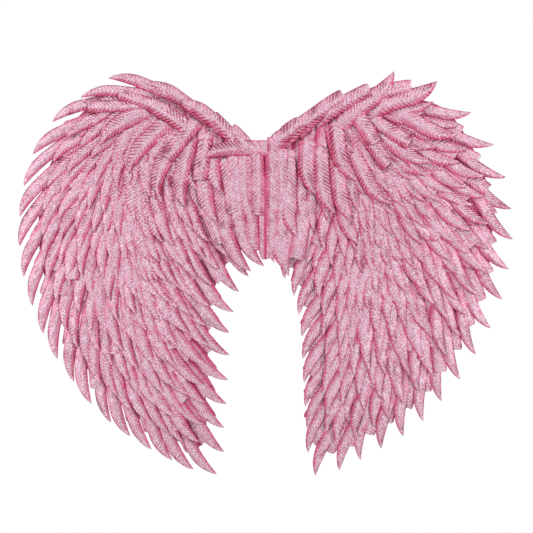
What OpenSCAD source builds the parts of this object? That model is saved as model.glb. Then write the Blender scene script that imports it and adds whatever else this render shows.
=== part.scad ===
// Costume wings: two wired fabric wings covered in die-cut feather fringe, hinged on a
// soft centre spine that is worn on the back with two elastic shoulder loops.
// Frame: +X to the right seen from behind the wearer, +Y towards the wearer, +Z up.
// The origin is the middle of the spine pad's face that lies on the wearer's back.

/* [Wings] */
// Half of the span from feather tip to feather tip
half_span = 320; // [280:1:350]
// Drop from the middle of the pad to the lowest feather tip
wing_drop = 370; // [330:1:400]
// Distance between the tips of one feather row and the next
row_gap = 36; // [32:1:40]

/* [Feathers] */
// Width of a pointed feather
feather_w = 19; // [15:0.5:22]
// Length of a feather from tip to sewn edge
feather_l = 100; // [80:1:120]
// Length of row taken by one pointed and one blunt feather
feather_pitch = 37; // [32:1:46]
// How far the blunt feathers stop short of the pointed ones
blunt_setback = 30; // [15:1:35]
// Thickness of the foiled feather fabric
fabric_t = 0.6; // [0.4:0.1:0.8]
// Depth taken by each feather row in the pile
level_step = 1.2; // [1:0.1:1.5]

/* [Frame wire] */
// Diameter of the frame wire
wire_d = 3; // [2.4:0.1:3]
// Radial clearance between the wire's hinge leg and its fabric tunnel
tunnel_clearance = 0.06; // [0.03:0.01:0.1]
// Distance of each hinge leg from the centre seam
hinge_x = 10; // [9:0.5:10]
// Length of the hinge tunnels
tunnel_h = 88; // [80:1:92]

/* [Spine and straps] */
// Width of the spine pad
pad_w = 32; // [28:1:34]
// Height of the spine pad
pad_h = 100; // [90:1:110]
// Width of the elastic shoulder straps
strap_w = 12; // [10:1:14]
// Thickness of the elastic
strap_t = 1.2; // [1:0.1:1.5]
// Angle of each strap loop from straight back, at rest
strap_splay = 25; // [22:1:30]

/* [Hidden] */
$fn = 48;

pink = [0.85, 0.52, 0.64];
deep_pink = [0.78, 0.42, 0.55];
felt_pink = [0.88, 0.62, 0.70];
wire_grey = [0.62, 0.62, 0.64];
board_white = [0.9, 0.9, 0.88];
elastic_white = [0.93, 0.91, 0.91];

ROWS = 10;
row_x = 22;
panel_x = hinge_x + 6;
panel_set_back = 34;
back_set_back = 37;
wire_set_back = 46;
arch_count = 7;
arch_end = 4;
arch_l = 80;
sx = half_span / 320;
sz = wing_drop / 370;

// Depths along Y, from the wearer's back outwards
pad_t = 2;
board_t = 1.4;
board_w = 26;
felt_t = 1.2;
hinge_y = -8;
wire_r = wire_d / 2;
slack = 0.1;
board_y = -pad_t - strap_t;
back_cover_y = hinge_y + wire_r + slack + felt_t;
base_panel_y = hinge_y - wire_r - slack;
tunnel_r = wire_r + 1.7;
seam_cover_y = hinge_y - tunnel_r - 0.4;
seam_cover_t = 0.8;
seam_feather_y = hinge_y - 7.4;
seam_feather_top = 46;
seam_w = 24;
seam_feather_w = 2 * hinge_x;
strap_x = 7;
strap_hinge_y = 1;
strap_end_h = 22;
pile_y = base_panel_y - felt_t - 0.2;

// Feather tips round a wing, from the top of the seam outwards and down to its foot:
// [x, z, feathers per pitch, direction in which panels and wire are set back, share of the set-back]
stations = [
    [ 12,   68,  1.0,  180, 0.35],
    [ 62,  104,  1.0,  180, 0.6],
    [114,  136,  1.0,  158, 0.7],
    [168,  151,  1.0,  142, 0.85],
    [222,  136,  0.9,  112, 1],
    [270,   98,  0.9,   76, 1],
    [303,   45,  0.95,  64, 1],
    [318,  -18,  1.0,   46, 1],
    [319,  -88,  1.0,   34, 1],
    [302, -158,  1.0,   23, 1],
    [262, -232,  1.05,   8, 1],
    [205, -300,  1.15,  -6, 1],
    [135, -345,  1.3,  -20, 1],
    [ 64, -370,  1.2,  -29, 1],
    [ 53, -300,  1.2,  -36, 1],
    [ 49, -235,  1.2,  -38, 1],
    [ 46, -178,  1.3,  -37, 1],
    [ 34, -130,  1.5,  -28, 0.9],
    [ 10,  -97,  1.8,  -10, 0.8]
];
// Feather headings over a wing: [x, z, degrees from straight down towards the outside]
headings = [
    [ 60, 100, 127], [120, 128, 124], [170, 140, 108], [222, 130,  90], [270,  95,  76],
    [303,  45,  64], [318, -20,  46], [318, -90,  34], [300,-158,  23], [262,-232,   8],
    [205,-298,  -6], [135,-342, -20], [ 64,-368, -29], [ 52,-300, -36], [ 49,-232, -38],
    [ 46,-180, -37], [ 34,-130, -28], [ 12,-100, -10], [ 35, -15,  -5], [ 75, -15,  -8],
    [ 90,  50,   0], [ 45,  30,   0], [ 96, -78, -20], [135, -60,  -8], [187, -52,  14],
    [226, -52,  32], [140,  20,   6], [150,  80,  30], [190,  70,  55], [213,-143,  14],
    [150,-190,  -9], [100,-140, -26], [265, -13,  48], [180,  10,  25], [230,  50,  62]
];
// Strap loop from its upper to its lower end: [distance from its hinge line, z]
strap_route = [
    [  0,  53], [  5,  60], [ 20,  64], [ 50,  60], [ 88,  45], [122,  20], [140, -10],
    [132, -39], [104, -56], [ 66, -61], [ 30, -60], [  6, -58], [  0, -54]
];

// Catmull-Rom curve through a list, at parameter u
function spline(list, u) =
    let (i = min(floor(u), len(list) - 2), f = u - i,
         a = list[max(i - 1, 0)], b = list[i], c = list[i + 1], d = list[min(i + 2, len(list) - 1)])
    0.5 * (2 * b + (c - a) * f + (2 * a - 5 * b + 4 * c - d) * f * f
           + (3 * b - a - 3 * c + d) * f * f * f);

function total(list, i = 0) = i < len(list) ? list[i] + total(list, i + 1) : 0;

// Feather tip at u, and the edge of a layer that is set back from the tips
function tip(u) = let (s = spline(stations, u)) [s[0] * sx, s[1] * sz];
function set_back(u, depth) =
    let (s = spline(stations, u)) tip(u) + depth * s[4] * [-sin(s[3]), cos(s[3])];

// Feather heading at a point, from the nearest stated headings
function pull(p, h) = 1 / pow(pow(p[0] - h[0] * sx, 2) + pow(p[1] - h[1] * sz, 2) + 300, 2);
function heading(p) =
    total([for (h = headings) pull(p, h) * h[2]]) / total([for (h = headings) pull(p, h)]);

// The arm runs under the arch from the seam to the wrist, and the rows end at it
wrist_x = 132 * sx;
function past_arm(p) = p[0] < wrist_x && p[1] > (44 + 0.42 * (p[0] - 14)) * sz;

// Point reached from p by going up along the feathers by d, as [point, whether it is short of the arm]
function up(p, d) =
    past_arm(p) ? [p, false]
    : d < 0.01 ? [p, true]
    : let (h = heading(p), step = min(d, 18)) up(p + step * [-sin(h), cos(h)], d - step);

// The rim row starts where the arch feathers end, and inner rows follow it at the row gap
rim_start = 3.5;
samples = 4;
last_u = len(stations) - 1;
row_us = [for (i = [0 : (last_u - rim_start) * samples]) rim_start + i / samples];
function row_depth(k) = k == 0 ? 0 : row_gap * k + 6;
function row_point(u, k) = up(tip(u), row_depth(k));

// Running length of a row against u, counted only where both ends of a step are short of the arm
function running(us, points, i = 0, sum = 0, out = []) =
    i >= len(us) - 1 ? concat(out, [[sum, us[i]]])
    : let (a = points[i], b = points[i + 1],
           step = a[1] && b[1] ? norm(b[0] - a[0]) * stations[floor(us[i])][2] : 0.0001)
      running(us, points, i + 1, sum + step, concat(out, [[sum, us[i]]]));

// One feather, tip at the origin and body up +Y; its tip lies on the side the fringe hooks to
module pointed_feather(long) {
    w = feather_w / 2;
    polygon([[w - 1, 0], [w, 30], [w, long], [-w, long], [-w, 44], [-w + 1.5, 27],
             [-w + 6, 12], [-w + 12, 3]]);
}
module blunt_feather(long) {
    w = feather_w / 2 - 1;
    polygon([[w, 3], [w, long], [-w, long], [-w, 6], [-w + 3, 1], [w - 2, 0]]);
}
module feather_at(p, turn, pointed, long) {
    translate(p) rotate(turn) {
        if (pointed) pointed_feather(long);
        else translate([0, blunt_setback]) blunt_feather(long - blunt_setback);
    }
}

// A flat sheet of fabric drawn in X and Z, with its rear face at y
module sheet(y, t) translate([0, y, 0]) rotate([90, 0, 0]) linear_extrude(t) children();

// Everything from x outwards on one side
module outward(side, x) translate([side > 0 ? x : -x - 400, -500]) square([400, 1000]);

// Everything of a wing from x outwards and inside its line of feather tips
wing_us = [for (i = [0 : last_u * samples]) i / samples];
module wing_area(side, x) {
    polygon([for (p = concat([[x, 0.5 * (stations[last_u][1] + stations[0][1])]],
                             [for (u = wing_us) let (t = tip(u)) [max(t[0], x), t[1]]]))
             [side * p[0], p[1]]]);
}

// Feather row k of a wing; side is 1 on the right and -1 on the left
module feather_row(side, k) {
    run = running(row_us, [for (u = row_us) row_point(u, k)]);
    halves = 2 * floor(run[len(run) - 1][0] / feather_pitch);
    sheet(pile_y - k * level_step, fabric_t)
        offset(delta = 0.05) intersection() {
            offset(delta = 4) wing_area(side, row_x);
            outward(side, row_x);
            union() for (i = [0 : halves - 1]) {
                p = row_point(lookup((i + 0.5) * feather_pitch / 2, run), k)[0];
                pointed = i % 2 == (side > 0 ? 1 : 0);
                feather_at([side * p[0], p[1]], side * heading(p), pointed, feather_l);
            }
        }
}
// Feathers that lie along the arch, over the sewn edges of the rows
module arch_feathers(side) {
    sheet(pile_y - ROWS * level_step, fabric_t)
        offset(delta = 0.05) intersection() {
            offset(delta = 3) wing_area(side, row_x);
            outward(side, row_x);
            union() for (i = [0 : arch_count - 1]) {
                p = tip(arch_end * (i + 0.6) / arch_count);
                feather_at([side * p[0], p[1]], side * heading(p), true, arch_l);
            }
        }
}

// Outline of a wing's fabric panels, set back from the tips and clear of the hinge tunnel
module panel_outline(side, depth) {
    edge = [for (u = wing_us) set_back(u, depth)];
    offset(r = 4) offset(delta = -4)
        polygon([for (p = concat([[panel_x, edge[len(edge) - 1][1]], [panel_x, edge[0][1]]], edge))
                 [side * max(p[0], panel_x), p[1]]]);
}

// A round tube of rings swept along points in an upright plane, closed at both ends
function unit(v) = v / norm(v);
module swept_wire(path, r, sides = 10) {
    n = len(path);
    rings = [for (i = [0 : n - 1])
        let (t = unit(path[min(i + 1, n - 1)] - path[max(i - 1, 0)]), side = [-t[2], 0, t[0]])
        for (j = [0 : sides - 1])
            let (a = 360 * j / sides) path[i] + r * (cos(a) * side + sin(a) * [0, 1, 0])];
    polyhedron(rings, concat(
        [[for (j = [sides - 1 : -1 : 0]) j]],
        [for (i = [0 : n - 2]) for (j = [0 : sides - 1])
            let (a = i * sides + j, b = i * sides + (j + 1) % sides)
            each [[a, b, b + sides], [a, b + sides, a + sides]]],
        [[for (j = [0 : sides - 1]) (n - 1) * sides + j]]));
}

leg_top = tunnel_h / 2 + 1;
leg_foot = -tunnel_h / 2 - 14;
tail_x = hinge_x + wire_d + 0.4;
ferrule_h = 9;
ferrule_wall = 0.7;
ferrule_slack = 0.05;
// The wire runs from the top of its hinge leg round the wing to a tail beside the leg's foot
wire_points = concat(
    [[hinge_x, leg_top - 2], [hinge_x, leg_top + 1], [hinge_x + 1.6, leg_top + 4.5],
     [hinge_x + 7, leg_top + 8]],
    [for (i = [2 : 2 * (last_u - 1)]) set_back(i / 2, wire_set_back)],
    [[tail_x + 12, leg_foot - 14], [tail_x + 3, leg_foot - 7], [tail_x, leg_foot + 2],
     [tail_x, leg_foot + 2 + ferrule_h]]);
module wire_frame(side) color(wire_grey) {
    translate([side * hinge_x, hinge_y, leg_foot]) cylinder(h = leg_top - leg_foot, d = wire_d);
    last = len(wire_points) - 1;
    swept_wire([for (i = [0 : last]) let (p = wire_points[side > 0 ? i : last - i])
                [side * p[0], hinge_y, p[1]]], wire_r - 0.04);
}
// Crimped sleeve that joins the wire's tail to the foot of its leg
module wire_ferrule(side) color(wire_grey)
    translate([side * (hinge_x + tail_x) / 2, hinge_y, leg_foot + 2])
        difference() {
            union() {
                for (x = [-1, 1]) translate([x * (tail_x - hinge_x) / 2, 0, 0])
                    cylinder(h = ferrule_h, r = wire_r + ferrule_wall);
                translate([(hinge_x - tail_x) / 2, -2, 0]) cube([tail_x - hinge_x, 4, ferrule_h]);
            }
            for (x = [-1, 1]) translate([x * (tail_x - hinge_x) / 2, 0, -1])
                cylinder(h = ferrule_h + 2, r = wire_r + ferrule_slack);
        }
module back_cover(side) color(felt_pink)
    sheet(back_cover_y, felt_t) panel_outline(side, back_set_back);
module base_panel(side) color(deep_pink)
    sheet(base_panel_y, felt_t) panel_outline(side, panel_set_back);

// The root: pad, board and hinge panel of the spine
module rounded(w, h, r) offset(r = r) square([w - 2 * r, h - 2 * r], center = true);
module spine_pad() color(felt_pink) sheet(0, pad_t) rounded(pad_w, pad_h, 8);
module spine_board() color(board_white)
    sheet(board_y - slack, board_t) rounded(board_w, pad_h - 6, 4);
module hinge_panel() color(deep_pink)
    difference() {
        union() {
            translate([-hinge_x, hinge_y - 1, -tunnel_h / 2]) cube([2 * hinge_x, 2, tunnel_h]);
            for (x = [-1, 1]) translate([x * hinge_x, hinge_y, -tunnel_h / 2])
                cylinder(h = tunnel_h, r = tunnel_r);
        }
        for (x = [-1, 1]) translate([x * hinge_x, hinge_y, -tunnel_h / 2 - 1])
            cylinder(h = tunnel_h + 2, r = wire_r + tunnel_clearance);
    }
module seam_cover() color(deep_pink)
    sheet(seam_cover_y, seam_cover_t) rounded(seam_w, tunnel_h, 4);
// Two long feathers that hang over the seam, clear of the wings' inner edges as they fold
module seam_feathers() color(pink)
    sheet(seam_feather_y, fabric_t)
        offset(delta = 0.05) intersection() {
            translate([0, seam_feather_top - 250]) square([seam_feather_w, 500], center = true);
            union() {
                feather_at([-6, -94 * sz], -8, true, 150);
                feather_at([7, -98 * sz], 8, true, 160);
            }
        }

// Elastic loops: ends sewn between pad and board, loop swinging about an upright line
module strap_ends(side) color(elastic_white)
    for (z = [pad_h / 2 - strap_end_h + 1, -pad_h / 2 - 1])
        translate([side * strap_x - strap_w / 2, -pad_t - strap_t + slack / 2, z])
            cube([strap_w, strap_t - slack, strap_end_h]);

module strap_loop(side) color(elastic_white)
    translate([side * strap_x, strap_hinge_y, 0])
        rotate(90 - side * strap_splay) strap_band();
// The loop in its own upright plane, with +X running straight out from its hinge line
module strap_band() {
    mid = [for (i = [0 : (len(strap_route) - 1) * samples]) spline(strap_route, i / samples)];
    n = len(mid);
    across = [for (i = [0 : n - 1])
        let (t = unit(mid[min(i + 1, n - 1)] - mid[max(i - 1, 0)])) strap_t / 2 * [-t[1], t[0]]];
    translate([0, strap_w / 2, 0]) rotate([90, 0, 0]) linear_extrude(strap_w)
        polygon(concat([for (i = [0 : n - 1]) mid[i] + across[i]],
                       [for (i = [n - 1 : -1 : 0]) mid[i] - across[i]]));
}

spine_pad();
spine_board();
hinge_panel();
seam_cover();
seam_feathers();
strap_ends(-1);  // left_strap_ends
strap_loop(-1);  // left_strap
strap_ends(1);  // right_strap_ends
strap_loop(1);  // right_strap
wire_frame(-1);  // left_wire_frame
wire_ferrule(-1);  // left_wire_ferrule
back_cover(-1);  // left_back_cover
base_panel(-1);  // left_base_panel
color(pink) arch_feathers(-1);  // left_arch_feathers
color(pink) feather_row(-1, 0);  // left_feather_row_1
color(pink) feather_row(-1, 1);  // left_feather_row_2
color(pink) feather_row(-1, 2);  // left_feather_row_3
color(pink) feather_row(-1, 3);  // left_feather_row_4
color(pink) feather_row(-1, 4);  // left_feather_row_5
color(pink) feather_row(-1, 5);  // left_feather_row_6
color(pink) feather_row(-1, 6);  // left_feather_row_7
color(pink) feather_row(-1, 7);  // left_feather_row_8
color(pink) feather_row(-1, 8);  // left_feather_row_9
color(pink) feather_row(-1, 9);  // left_feather_row_10
wire_frame(1);  // right_wire_frame
wire_ferrule(1);  // right_wire_ferrule
back_cover(1);  // right_back_cover
base_panel(1);  // right_base_panel
color(pink) arch_feathers(1);  // right_arch_feathers
color(pink) feather_row(1, 0);  // right_feather_row_1
color(pink) feather_row(1, 1);  // right_feather_row_2
color(pink) feather_row(1, 2);  // right_feather_row_3
color(pink) feather_row(1, 3);  // right_feather_row_4
color(pink) feather_row(1, 4);  // right_feather_row_5
color(pink) feather_row(1, 5);  // right_feather_row_6
color(pink) feather_row(1, 6);  // right_feather_row_7
color(pink) feather_row(1, 7);  // right_feather_row_8
color(pink) feather_row(1, 8);  // right_feather_row_9
color(pink) feather_row(1, 9);  // right_feather_row_10
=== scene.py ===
"""Costume wings: metallic pink die-cut feather fringe in shingled rows over two wired wings."""

import math

import bpy
import numpy as np
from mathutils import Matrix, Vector


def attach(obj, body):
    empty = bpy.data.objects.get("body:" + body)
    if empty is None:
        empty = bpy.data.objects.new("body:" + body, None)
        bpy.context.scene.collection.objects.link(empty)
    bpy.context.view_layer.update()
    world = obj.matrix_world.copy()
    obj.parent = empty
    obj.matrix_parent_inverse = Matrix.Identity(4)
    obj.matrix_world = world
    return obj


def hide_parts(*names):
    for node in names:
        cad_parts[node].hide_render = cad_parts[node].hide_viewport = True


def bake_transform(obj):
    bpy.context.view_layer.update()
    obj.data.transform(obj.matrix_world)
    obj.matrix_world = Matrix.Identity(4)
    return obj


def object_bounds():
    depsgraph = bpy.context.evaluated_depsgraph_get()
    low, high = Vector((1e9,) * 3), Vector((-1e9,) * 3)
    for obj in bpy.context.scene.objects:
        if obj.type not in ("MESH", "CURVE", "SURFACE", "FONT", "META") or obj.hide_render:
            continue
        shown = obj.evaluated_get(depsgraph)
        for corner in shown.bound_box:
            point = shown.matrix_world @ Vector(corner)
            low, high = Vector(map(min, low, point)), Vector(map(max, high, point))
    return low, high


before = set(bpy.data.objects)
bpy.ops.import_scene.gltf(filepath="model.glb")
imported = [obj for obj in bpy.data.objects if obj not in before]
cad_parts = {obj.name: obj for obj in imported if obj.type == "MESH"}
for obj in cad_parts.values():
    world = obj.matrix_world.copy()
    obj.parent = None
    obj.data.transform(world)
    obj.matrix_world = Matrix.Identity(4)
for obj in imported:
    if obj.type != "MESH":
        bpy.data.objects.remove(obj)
cad_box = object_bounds()
MM = 0.001
SIDES = {"left": -1, "right": 1}
ROWS = 10

# ---- camera

FRAME_WIDTH = 0.693        # what the picture's width covers at the object, in metres
CAMERA_DISTANCE = 2.4
SENSOR = 36.0
VIEW_CENTRE = (0.0014, -0.0995)   # x and z of the point the camera looks straight at
SHOW_DEPTH = 0.015         # how far the feathers stand in front of the frame's origin


def make_camera():
    data = bpy.data.cameras.new("camera")
    data.sensor_width = SENSOR
    data.lens = SENSOR * (CAMERA_DISTANCE - SHOW_DEPTH) / FRAME_WIDTH
    camera = bpy.data.objects.new("camera", data)
    camera.location = (VIEW_CENTRE[0], -CAMERA_DISTANCE, VIEW_CENTRE[1])
    camera.rotation_euler = (math.pi / 2, 0, 0)
    bpy.context.collection.objects.link(camera)
    bpy.context.scene.camera = camera


make_camera()

# ---- meshes


def new_piece(name, vertices, faces, painted_shade=None, sharp_angle=None):
    """A mesh object from points in metres, with the share of painted shade at each point."""
    mesh = bpy.data.meshes.new(name)
    mesh.from_pydata([], [], [])
    vertices = np.asarray(vertices, np.float32)
    faces = np.asarray(faces, np.int32)
    mesh.vertices.add(len(vertices))
    mesh.vertices.foreach_set("co", vertices.ravel())
    sides = faces.shape[1]
    mesh.loops.add(faces.size)
    mesh.loops.foreach_set("vertex_index", faces.ravel())
    mesh.polygons.add(len(faces))
    mesh.polygons.foreach_set("loop_start", np.arange(len(faces), dtype=np.int32) * sides)
    mesh.update(calc_edges=True)
    mesh.polygons.foreach_set("use_smooth", np.full(len(faces), True))
    mesh.validate()
    if painted_shade is not None:
        mesh.attributes.new("painted_shade", "FLOAT", "POINT").data.foreach_set("value", painted_shade)
    if sharp_angle:
        mesh.set_sharp_from_angle(angle=math.radians(sharp_angle))
    piece = bpy.data.objects.new(name, mesh)
    bpy.context.collection.objects.link(piece)
    return piece


def catmull(points, u):
    """Catmull-Rom curve through a list of points, at parameters u."""
    points = np.asarray(points, float)
    u = np.asarray(u, float)
    i = np.clip(np.floor(u).astype(int), 0, len(points) - 2)
    f = (u - i)[..., None]
    a = points[np.clip(i - 1, 0, None)]
    b, c = points[i], points[i + 1]
    d = points[np.clip(i + 2, None, len(points) - 1)]
    return 0.5 * (2 * b + (c - a) * f + (2 * a - 5 * b + 4 * c - d) * f ** 2
                  + (3 * b - a - 3 * c + d) * f ** 3)


def run_along(path):
    """Distance from the start of a path to each of its points."""
    return np.concatenate([[0.0], np.cumsum(np.linalg.norm(np.diff(path, axis=0), axis=1))])


def points_at(path, at):
    """Points at given distances along a path."""
    run = run_along(path)
    return np.stack([np.interp(at, run, axis) for axis in path.T], -1)


def even_ring(path, count):
    """A closed path, whose last point repeats its first, as a ring of evenly spaced points."""
    return points_at(path, np.linspace(0, run_along(path)[-1], count, endpoint=False))


def level_grid(ring, rows, cols, inset):
    """Level rows of points that fill a ring, from inset above its foot to inset below its top."""
    after = np.roll(ring, -1, axis=0)
    grid = []
    for z in np.linspace(ring[:, 1].min() + inset, ring[:, 1].max() - inset, rows):
        hit = (ring[:, 1] > z) != (after[:, 1] > z)
        a, b = ring[hit], after[hit]
        x = a[:, 0] + (b[:, 0] - a[:, 0]) * (z - a[:, 1]) / (b[:, 1] - a[:, 1])
        grid.append(np.stack([np.linspace(x.min(), x.max(), cols), np.full(cols, z)], -1))
    return np.array(grid)


def distance_to(ring, x, z):
    """Distance from each point to the nearest point of the ring."""
    out = np.full(x.shape, np.inf)
    for a, b in ring:
        out = np.minimum(out, (x - a) ** 2 + (z - b) ** 2)
    return np.sqrt(out)


def ring_quads(index):
    """Faces between each ring of point numbers and the next one."""
    turned = np.roll(index, -1, axis=1)
    return np.stack([index[:-1], turned[:-1], turned[1:], index[1:]], -1).reshape(-1, 4)


def groove(distance, width):
    """A dip or ridge of height 1 where distance is 0."""
    return np.exp(-(distance / width) ** 2)


# ---- layout of a wing, in millimetres

# Feather tips round a wing, from the top of the seam outwards and down to its foot:
# [x, z, feathers per pitch, direction in which panels are set back, share of the set-back]
STATIONS = [
    [12, 68, 1.0, 180, 0.35], [62, 104, 1.0, 180, 0.6], [114, 136, 1.0, 158, 0.7],
    [168, 151, 0.8, 142, 0.85], [222, 136, 0.75, 112, 1], [270, 98, 0.75, 76, 1],
    [303, 45, 0.85, 64, 1], [318, -18, 1.0, 46, 1], [319, -88, 1.0, 34, 1],
    [302, -158, 1.0, 23, 1], [262, -232, 1.05, 8, 1], [205, -300, 1.15, -6, 1],
    [135, -345, 1.3, -20, 1], [64, -370, 1.2, -29, 1], [53, -300, 1.2, -36, 1],
    [49, -235, 1.2, -38, 1], [46, -178, 1.3, -37, 1], [34, -130, 1.5, -28, 0.9],
    [10, -97, 1.8, -10, 0.8],
]
# Feather headings over a wing: [x, z, degrees from straight down towards the outside]
HEADINGS = np.array([
    [60, 100, 127], [120, 128, 124], [170, 140, 108], [222, 130, 90], [270, 95, 76],
    [303, 45, 64], [318, -20, 46], [318, -90, 34], [300, -158, 23], [262, -232, 8],
    [205, -298, -6], [135, -342, -20], [64, -368, -29], [52, -300, -36], [49, -232, -38],
    [46, -180, -37], [34, -130, -28], [12, -100, -10], [35, -15, -5], [75, -15, -8],
    [90, 50, 0], [45, 30, 0], [96, -78, -20], [135, -60, -8], [187, -52, 14],
    [226, -52, 32], [140, 20, 6], [150, 80, 30], [190, 70, 55], [213, -143, 14],
    [150, -190, -9], [100, -140, -26], [265, -13, 48], [180, 10, 25], [230, 50, 62],
], float)
BLEND_AREA = 300.0         # smooths the change from one listed heading to the next
ROW_GAP = 36.0
FIRST_GAP = 10.0           # extra gap between the rim row and the second row
FEATHER_PITCH = 31.0
PITCH_JITTER = 0.12        # share of half a pitch by which a feather leaves its even place
RIM_START = 3.5            # the station from which the rows run, past the arch feathers
LAST_U = len(STATIONS) - 1
FOOT = 13                  # the station of a wing's lowest tip
FREE_TIPS = {-1: (5.2, 17.45), 1: (4.95, 17.35)}   # stations of each wing's first and last free tip
TIPS_DOWN = 17             # free tips from the first one down to the foot
TIPS_UP = 10               # free tips from the foot up the inner edge
SQUARE_UP = {-1: 32, 1: 24}       # how far each wing's square-cut rim ends lie above the tips
SQUARE_BESIDE = {-1: 0, 1: 13}    # and how far they are moved across, back towards the seam
SQUARE_SET_BACK = (22, 30)        # how far square-cut ends lie above the tips in the other rows
BESIDE = 8.0                      # how far they lie beside their place there
# Rows end at the arm: a line that rises outwards from the seam to the wrist
WRIST_X = 132.0
ARM_FOOT = (14.0, 44.0)
ARM_SLOPE = 0.42


def heading(p):
    """Feather direction at a point of the right wing, in degrees from straight down."""
    apart = (p[0] - HEADINGS[:, 0]) ** 2 + (p[1] - HEADINGS[:, 1]) ** 2
    pull = 1 / (apart + BLEND_AREA) ** 2
    return float((pull * HEADINGS[:, 2]).sum() / pull.sum())


def upward(degrees):
    """Unit vector that goes up along a feather of that heading, from its tip to its root."""
    a = math.radians(degrees)
    return np.array([-math.sin(a), math.cos(a)])


def outward(degrees):
    """Unit vector across a feather of that heading, away from the seam where it hangs down."""
    a = math.radians(degrees)
    return np.array([math.cos(a), math.sin(a)])


def spread(start, stop, count):
    """Stations of a number of feather tips, spread by density between two stations."""
    us = np.linspace(start, stop, 200)
    edge = catmull(STATIONS, us)
    steps = np.linalg.norm(np.diff(edge[:, :2], axis=0), axis=1) * edge[:-1, 2]
    run = np.concatenate([[0.0], np.cumsum(steps)])
    return np.interp(np.linspace(0.0, run[-1], count), run, us)


def rim_tips(side):
    """[(x, z, degrees)] of a wing's free tips, from the wrist down and up the inner edge."""
    start, stop = FREE_TIPS[side]
    stations = np.concatenate([spread(start, FOOT, TIPS_DOWN), spread(FOOT, stop, TIPS_UP)[1:]])
    tips = [catmull(STATIONS, float(u))[:2] for u in stations]
    return [(x, z, heading((x, z))) for x, z in tips]


def rim_places(side):
    """[tip, degrees, pointed] along the rim: the free tips, and a square-cut end between each two."""
    places = []
    tips = rim_tips(side)
    for i, (x, z, degrees) in enumerate(tips):
        if i:
            before = np.array(tips[i - 1], float)
            middle = (before + (x, z, degrees)) / 2
            up, out = upward(middle[2]), outward(middle[2])
            place = middle[:2] + SQUARE_UP[side] * up - SQUARE_BESIDE[side] * out
            places.append((place, middle[2], False))
        places.append((np.array([x, z], float), degrees, True))
    return places


def past_arm(p):
    return p[0] < WRIST_X and p[1] > ARM_FOOT[1] + ARM_SLOPE * (p[0] - ARM_FOOT[0])


def go_up(p, distance, longest_step=18.0):
    """Point reached by going up along the feathers, and whether it is short of the arm."""
    p = np.array(p, float)
    while True:
        if past_arm(p):
            return p, False
        if distance < 0.01:
            return p, True
        step = min(distance, longest_step)
        p = p + step * upward(heading(p))
        distance -= step


def row_depth(k):
    return 0 if k == 0 else ROW_GAP * k + FIRST_GAP


def row_tips(k, rng):
    """Tip points along feather row k of the right wing, half a pitch apart where the density is 1."""
    us = np.arange(RIM_START, LAST_U + 1e-6, 0.25)
    found = [go_up(catmull(STATIONS, u)[:2], row_depth(k)) for u in us]
    run = [0.0]
    for i in range(len(us) - 1):
        (a, a_ok), (b, b_ok) = found[i], found[i + 1]
        density = STATIONS[int(us[i])][2]
        run.append(run[-1] + (np.linalg.norm(b - a) * density if a_ok and b_ok else 1e-4))
    tips = []
    for i in range(2 * int(run[-1] / FEATHER_PITCH)):
        at = (i + 0.5 + rng.uniform(-PITCH_JITTER, PITCH_JITTER)) * FEATHER_PITCH / 2
        u = float(np.interp(at, run, us))
        tips.append(go_up(catmull(STATIONS, u)[:2], row_depth(k))[0])
    return tips


def row_places(side, k, rng):
    """[tip, degrees, pointed] along row k: pointed and square-cut feathers by turns."""
    if k == 0:
        return rim_places(side)
    places = []
    for i, p in enumerate(row_tips(k, rng)):
        pointed = i % 2 == (1 if side > 0 else 0)
        degrees = heading(p)
        if not pointed:
            p = p + rng.uniform(*SQUARE_SET_BACK) * upward(degrees) - side * BESIDE * outward(degrees)
        places.append((p, degrees, pointed))
    return places


EDGE = catmull(STATIONS, np.linspace(0, LAST_U, 220))[:, :2]
OUTLINE = np.vstack([[[-60, EDGE[0, 1]]], EDGE, [[-60, EDGE[-1, 1]]]])


def inside_outline(p):
    """Whether a point of the right wing is inside its line of feather tips."""
    a, b = OUTLINE, np.roll(OUTLINE, -1, axis=0)
    crosses = (a[:, 1] > p[1]) != (b[:, 1] > p[1])
    with np.errstate(divide="ignore", invalid="ignore"):
        x = (b[:, 0] - a[:, 0]) * (p[1] - a[:, 1]) / (b[:, 1] - a[:, 1]) + a[:, 0]
    return bool(np.count_nonzero(crosses & (p[0] < x)) % 2)


def room_above(p, degrees, longest, step=3.0):
    """How long a feather can be at p before its root leaves the wing."""
    reach = 0.0
    direction = upward(degrees)
    while reach < longest and inside_outline(p + step * direction + reach * direction):
        reach += step
    return reach


# ---- one feather

TAPER = 42.0               # length over which a pointed feather narrows to its tip
TIP_WIDTH = 2.0            # width of its rounded end
HOOK = 2.0                 # how far the tip hooks to its side
HOOK_LENGTH = 40.0
SHEET_T = 0.45
ACROSS = 12                # faces across a feather
VISIBLE = 54.0             # length above the tip that is cut finely
COARSE_STEP = 4.0
BARB = [0.0, 0.75, 1.0, 0.5]   # height of one embossed barb, row by row
BARB_HEIGHT = 1.25
CRINKLE = 0.32
# Strengths of the painted shade along a feather's edges, in its barbs' grooves and where the next row covers
# it
EDGE_SHADE = 0.75
BARB_SHADE = 1.5
COVERED_SHADE = 0.4
COVERED_FADE = 20.0        # length over which the painted shade of a covered part sets in
CURL_LENGTH = 34.0
SINK_LENGTH = 24.0


def smooth_noise(x, y, rng, waves, shortest, longest):
    """A sum of random waves over x and y, about 1 at its peaks."""
    out = np.zeros_like(x)
    for _ in range(waves):
        k = 2 * math.pi / math.exp(rng.uniform(math.log(shortest), math.log(longest)))
        a, phase = rng.uniform(0, 2 * math.pi), rng.uniform(0, 2 * math.pi)
        out += np.sin(k * (x * math.cos(a) + y * math.sin(a)) + phase)
    return out / math.sqrt(waves)


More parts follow.
